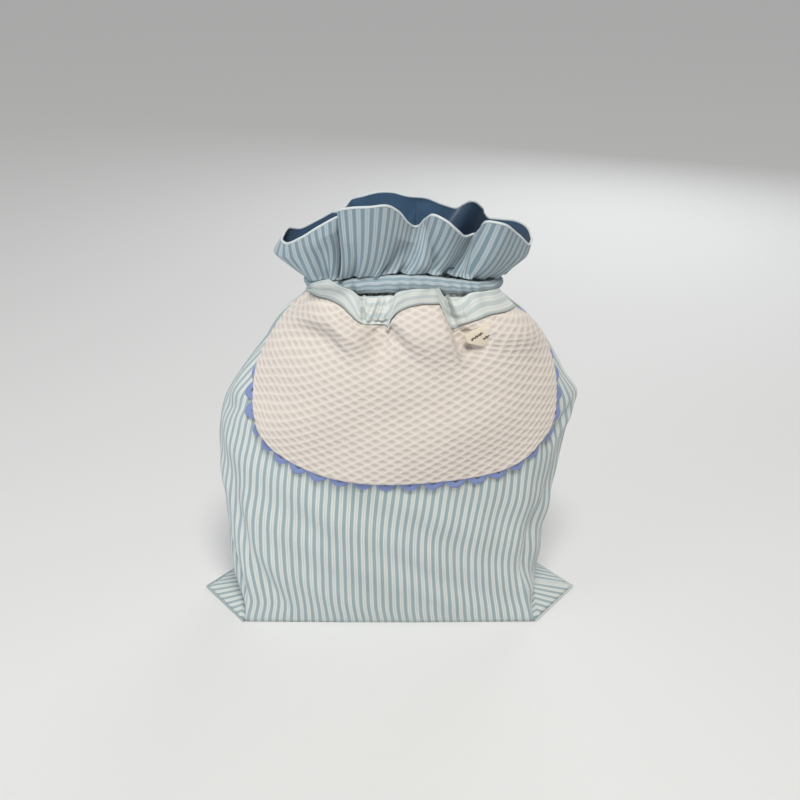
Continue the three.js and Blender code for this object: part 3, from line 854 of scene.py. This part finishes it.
class Paint:
    """Small helper for building a node material."""

    def __init__(self, name, roughness=0.85, sheen=0.3):
        self.material = bpy.data.materials.new(name)
        self.material.use_nodes = True
        self.tree = self.material.node_tree
        self.shader = self.tree.nodes["Principled BSDF"]
        settings = {"Roughness": roughness, "Sheen Weight": sheen, "Sheen Roughness": 0.5,
                    "Specular IOR Level": 0.25}
        for key, value in settings.items():
            self.shader.inputs[key].default_value = value

    def node(self, kind, **values):
        """A new node, with its properties and its inputs' own values by name."""
        made = self.tree.nodes.new(kind)
        for key, value in values.items():
            if hasattr(made, key):
                setattr(made, key, value)
            else:
                made.inputs[key].default_value = value
        return made

    def link(self, a, b):
        self.tree.links.new(a, b)

    def feed(self, made, values):
        """Gives a node's numbered inputs a number, a colour or another node's output."""
        for slot, value in values:
            if isinstance(value, (int, float)):
                made.inputs[slot].default_value = value
            elif isinstance(value, tuple):
                made.inputs[slot].default_value = (*value, 1)
            elif value is not None:
                self.link(value, made.inputs[slot])

    def math(self, operation, a, b=None):
        made = self.node("ShaderNodeMath", operation=operation)
        self.feed(made, ((0, a), (1, b)))
        return made.outputs[0]

    def times(self, a, b):
        return self.math("MULTIPLY", a, b)

    def mix(self, factor, a, b, blend="MIX"):
        made = self.node("ShaderNodeMix", data_type="RGBA", blend_type=blend)
        self.feed(made, ((0, factor), (6, a), (7, b)))
        return made.outputs[2]

    def step(self, value, low, high, start=0.0, end=1.0):
        """A smooth step of a value: start up to low, end from high."""
        limits = {"From Min": low, "From Max": high, "To Min": start, "To Max": end}
        made = self.node("ShaderNodeMapRange", interpolation_type="SMOOTHSTEP", **limits)
        self.link(value, made.inputs["Value"])
        return made.outputs[0]

    def noise(self, vector, scale, detail=2.0):
        made = self.node("ShaderNodeTexNoise", Scale=scale, Detail=detail)
        self.link(vector, made.inputs["Vector"])
        return made.outputs["Fac"]

    def cloth_uv(self):
        """The flat cloth's coordinates, in metres."""
        made = self.node("ShaderNodeUVMap", uv_map="cloth")
        parts = self.node("ShaderNodeSeparateXYZ")
        self.link(made.outputs["UV"], parts.inputs[0])
        return made.outputs["UV"], parts.outputs[0], parts.outputs[1]

    def color(self, value):
        self.link(value, self.shader.inputs["Base Color"])

    def bump(self, height, strength, distance):
        made = self.node("ShaderNodeBump", Strength=strength, Distance=distance)
        self.link(height, made.inputs["Height"])
        self.link(made.outputs["Normal"], self.shader.inputs["Normal"])


def srgb(*color):
    """A colour given in 0 to 255 as the eye sees it, none of it near black, as linear light."""
    return tuple(((c / 255 + 0.055) / 1.055) ** 2.4 for c in color)


STRIPE_PITCH = 0.0078
TICKING_WHITE, TICKING_BLUE = (222, 225, 219), (153, 171, 176)
THREAD = 0.0007


def weave(paint, u, v, pitch=THREAD):
    """Over-and-under threads of a plain weave, from 0 to 1."""
    warp, weft = (paint.math("SINE", paint.times(place, 2 * math.pi / pitch)) for place in (u, v))
    return paint.math("MULTIPLY_ADD", paint.times(warp, weft), 0.5)


def ticking(name, crosswise=False, stripe_paling=0.0, painted_shade_from=None):
    """Woven stripes, their dark stripes paled by a share; from a height on, painted shade darkens the cloth.
    """
    paint = Paint(name, roughness=0.88, sheen=0.25)
    uv, u, v = paint.cloth_uv()
    height = v
    if crosswise:
        u, v = v, u
    wobble = paint.times(paint.math("SUBTRACT", paint.noise(uv, 900, 1), 0.5), 0.0006)
    place = paint.math("FRACT", paint.math("DIVIDE", paint.math("ADD", u, wobble), STRIPE_PITCH))
    from_middle = paint.math("ABSOLUTE", paint.math("SUBTRACT", place, 0.5))
    broad = paint.step(from_middle, 0.22, 0.31)
    pinstripe = paint.step(from_middle, 0.02, 0.07, 0.45, 0.0)
    # the dark stripe is mixed toward white by a share; on the yoke this paling is painted light
    stripe = srgb(*(mix(a, b, stripe_paling) for a, b in zip(TICKING_BLUE, TICKING_WHITE)))
    base = paint.mix(paint.math("MAXIMUM", broad, pinstripe), srgb(*TICKING_WHITE), stripe)
    aged = paint.mix(paint.times(paint.noise(uv, 14, 3), 0.12), base, srgb(235, 236, 232))
    slub = paint.times(paint.noise(uv, 2600, 0), 0.16)
    cloth = paint.mix(slub, aged, srgb(120, 140, 150))
    if painted_shade_from is not None:
        # painted shade: a bluish darkening from this height up; a height below zero shades the whole piece
        painted_shade = paint.step(height, painted_shade_from, painted_shade_from + 0.012)
        cloth = paint.mix(painted_shade, cloth, srgb(213, 223, 233), blend="MULTIPLY")
    paint.color(cloth)
    paint.bump(weave(paint, u, v), 0.25, 0.0004)
    return paint.material


def plain(name, rgb, second, pitch=THREAD, roughness=0.9, sheen=0.3, strength=0.3):
    paint = Paint(name, roughness, sheen)
    uv, u, v = paint.cloth_uv()
    cloudy = paint.mix(paint.noise(uv, 20, 3), srgb(*rgb), srgb(*second))
    flecks = paint.times(paint.noise(uv, 2200, 0), 0.35)
    paint.color(paint.mix(flecks, cloudy, srgb(*(c * 0.8 for c in rgb))))
    paint.bump(weave(paint, u, v, pitch), strength, 0.0004)
    return paint.material


def waffle_cloth(name, rgb, hollow_shade):
    """Waffle pique, with painted shade in the hollows of its cells."""
    paint = Paint(name, roughness=0.92, sheen=0.3)
    uv, u, v = paint.cloth_uv()
    a = paint.math("DIVIDE", u, WAFFLE_WIDTH / math.pi)
    b = paint.math("DIVIDE", v, WAFFLE_HEIGHT / math.pi)
    one, other = (paint.math("ABSOLUTE", paint.math("SINE", paint.math(way, a, b)))
                  for way in ("ADD", "SUBTRACT"))
    deep = paint.math("POWER", paint.times(one, other), 0.8)
    cloudy = paint.mix(paint.noise(uv, 20, 3), srgb(*rgb), srgb(*(c * 0.965 for c in rgb)))
    # painted shade, darkest in a cell's hollow and none on its ridges
    paint.color(paint.mix(paint.times(deep, 0.62), cloudy, srgb(*hollow_shade)))
    paint.bump(weave(paint, u, v, 0.0009), 0.2, 0.0003)
    return paint.material


MATERIALS = {
    # painted shade on the ruffle, from its foot up, where it faces down
    "ticking": ticking("ticking_cloth", painted_shade_from=0.452),
    # painted shade all over the casing, which lies under the ruffle
    "casing": ticking("ticking_casing", crosswise=True, stripe_paling=0.25, painted_shade_from=-1.0),
    # painted light: the yoke's stripes paled, as on its brightly lit upward faces
    "yoke": ticking("ticking_yoke", crosswise=True, stripe_paling=0.62),
    "lining": plain("lining_cotton", (66, 97, 127), (50, 78, 106)),
    # the second colour is painted shade for the waffle's hollows
    "waffle": waffle_cloth("waffle_pique", (228, 219, 209), (180, 170, 163)),
    "backing": plain("backing_cotton", (238, 235, 228), (228, 224, 216)),
    "braid": plain("rickrack_braid", (136, 150, 198), (120, 138, 190), pitch=0.0010, roughness=0.7),
    "label": plain("label_tape", (236, 224, 204), (228, 214, 192), pitch=0.0006, roughness=0.6),
    "hem": plain("hem_edge", (222, 228, 228), (208, 217, 220)),
    "cord": plain("cord_cotton", (226, 222, 210), (214, 210, 198)),
    "thread": plain("sewing_thread", (192, 204, 208), (180, 194, 200)),
    "ink": plain("label_ink", (66, 62, 60), (52, 50, 50)),
}


# ---- camera, light and floor ----

EYE = (0.0115, -0.88, 0.683)
LOOK_AT = (0.0115, 0.052, 0.207)
SENSOR = 36.0
FOCAL_SHARE = 1.2275  # focal length over the sensor's width
FLOOR_REACH, FLOOR_Z = 40.0, -0.0006

# Each light's kind, place, target, size (a disk's width or a sun's angle), strength and colour.
LIGHTS = {
    "far_key": ("SUN", (0.1, -0.85, 1.7), (0, 0, 0.2), 0.5, 0.9, (1, 0.97, 0.93)),
    "key": ("AREA", (0.1, -0.85, 1.7), (0, 0, 0.2), 0.5, 14, (1, 0.97, 0.93)),
    "fill": ("AREA", (-1.4, -0.9, 0.35), (-0.05, 0, 0.12), 1.0, 8, (0.84, 0.92, 1)),
    "back": ("AREA", (0.6, 1.6, 1.0), (0, 0, 0.2), 1.2, 8, (0.93, 0.96, 1)),
}


def aim(obj, start, target):
    direction = np.subtract(target, start)
    flat = math.hypot(direction[0], direction[1])
    obj.location = start
    obj.rotation_euler = (math.pi / 2 + math.atan2(direction[2], flat), 0,
                          math.atan2(-direction[0], direction[1]))


def make_camera():
    data = bpy.data.cameras.new("camera")
    data.sensor_width = SENSOR
    data.lens = SENSOR * FOCAL_SHARE
    camera = add_object("camera", data)
    aim(camera, EYE, LOOK_AT)
    bpy.context.scene.camera = camera


def make_stage():
    s = FLOOR_REACH
    floor = add_piece("floor", [(-s, -s, 0), (s, -s, 0), (s, s, 0), (-s, s, 0)], [(0, 1, 2, 3)])
    paint = Paint("floor_paint", roughness=0.9, sheen=0)
    paint.shader.inputs["Base Color"].default_value = (0.78, 0.78, 0.77, 1)
    floor.data.materials.append(paint.material)
    floor.location.z = FLOOR_Z
    world = bpy.data.worlds.new("world")
    bpy.context.scene.world = world
    world.use_nodes = True
    background = world.node_tree.nodes["Background"].inputs
    background["Color"].default_value = (0.93, 0.96, 1, 1)
    background["Strength"].default_value = 0.28
    bpy.context.scene.view_settings.view_transform = "Standard"


def make_lights():
    for name, (kind, start, target, size, power, color) in LIGHTS.items():
        data = bpy.data.lights.new(name, kind)
        data.energy, data.color = power, color
        if kind == "SUN":
            data.angle = size
        else:
            data.shape, data.size = "DISK", size
        aim(add_object(name, data), start, target)


# ---- build ----

SIDES = {-1: "front", 1: "back"}
EAR_FOLD_Z = 0.0010
HEM_RADIUS, LINING_SEAM_RADIUS = 0.0012, 0.0007


def fit(piece, material, body, node=None):
    """Dresses a piece and ties it to its body; a flap piece only has its place baked into its mesh."""
    piece.data.materials.clear()
    piece.data.materials.append(MATERIALS[material])
    if body == "flap":
        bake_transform(piece)
    else:
        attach(piece, body)
    if node:
        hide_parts(node)
    return piece


def ear_folds(end, word):
    """The two folded edges of a boxed corner's ear, from its tip to the base's corners."""
    sign = -1 if end == 0 else 1
    tip = np.array([sign * EAR_TIP, 0, EAR_FOLD_Z])
    for side, side_word in SIDES.items():
        corner = np.array([sign * (CLOTH_WIDTH - BASE_DEPTH) / 2, side * BASE_DEPTH / 2, EAR_FOLD_Z])
        fold = mix(tip, corner, np.linspace(0, 1, 30)[:, None])
        yield sweep(f"ear_fold_{word}_{side_word}", fold, SEAM_RADIUS)


make_camera()
make_stage()
make_lights()

rims, panels, linings = {}, {}, {}
for side, word in SIDES.items():
    outer_grid, inner_grid, uv, base_count = panel_grids(side)
    turn = -side  # columns run the other way on the back, so that its outer face looks out
    panel = thicken(grid_mesh(f"{word}_panel_cloth", outer_grid[:, ::turn], uv[:, ::turn]), CLOTH)
    panels[side] = fit(panel, "ticking", "sack", f"{word}_panel")
    lining = grid_mesh(f"{word}_lining_cloth", inner_grid[base_count:, ::turn], uv[base_count:, ::turn])
    linings[side] = fit(lining, "lining", "sack", f"{word}_lining")
    rims[side] = (outer_grid[-1] + inner_grid[-1]) / 2

trims = []
below_casing = base_count + np.searchsorted(WALL_ZS, CASING_LOW)
for end, word in ((0, "left"), (-1, "right")):
    trims.append(sweep(f"side_seam_{word}", outer_grid[:below_casing, end], SEAM_RADIUS))
    trims.extend(ear_folds(end, word))
for seam in trims:
    fit(seam, "ticking", "sack")
hem = sweep("rim_hem", np.concatenate([rims[-1], rims[1][-2:0:-1]]), HEM_RADIUS, closed=True)
fit(hem, "hem", "sack")

casing = fit(make_casing(), "casing", "sack", "neck_casing")
for name, z in (("casing_stitches_low", CASING_LOW + 0.0012), ("casing_stitches_high", CASING_HIGH - 0.0010)):
    path = neck_ring(z, 0.0022 + 0.0008 * casing_ripple())
    trims.append(fit(stitches(name, path), "thread", "sack"))

yoke = fit(make_yoke(), "yoke", "flap", "flap_yoke")
flap_panel = fit(make_flap_panel(), "waffle", "flap", "flap_panel")
backing = fit(make_backing(), "backing", "flap", "flap_backing")
rickrack = fit(make_rickrack(), "braid", "flap", "rickrack_trim")

along_base = mix(CORNER_SHARE, 1 - CORNER_SHARE, np.linspace(0.01, 0.99, 300))
front_stitching = stitches("base_topstitching", surface(-1, along_base, 0.0055, 0.0012))
fit(front_stitching, "thread", "sack")
seam_top = rims[1][len(rims[1]) // 2 - 8] - [0, 0.0022, 0]
seam_path = seam_top - np.outer(np.linspace(0.003, 0.05, 12), [0, 0.35, 1])
lining_seam = fit(sweep("lining_seam", seam_path, LINING_SEAM_RADIUS), "lining", "sack")

label, marks = make_label()
fit(label, "label", "label", "label")
for mark in marks:
    fit(mark, "ink", "label")

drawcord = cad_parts["drawcord"]
drawcord.data.materials.clear()
drawcord.data.materials.append(MATERIALS["cord"])

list(marks)
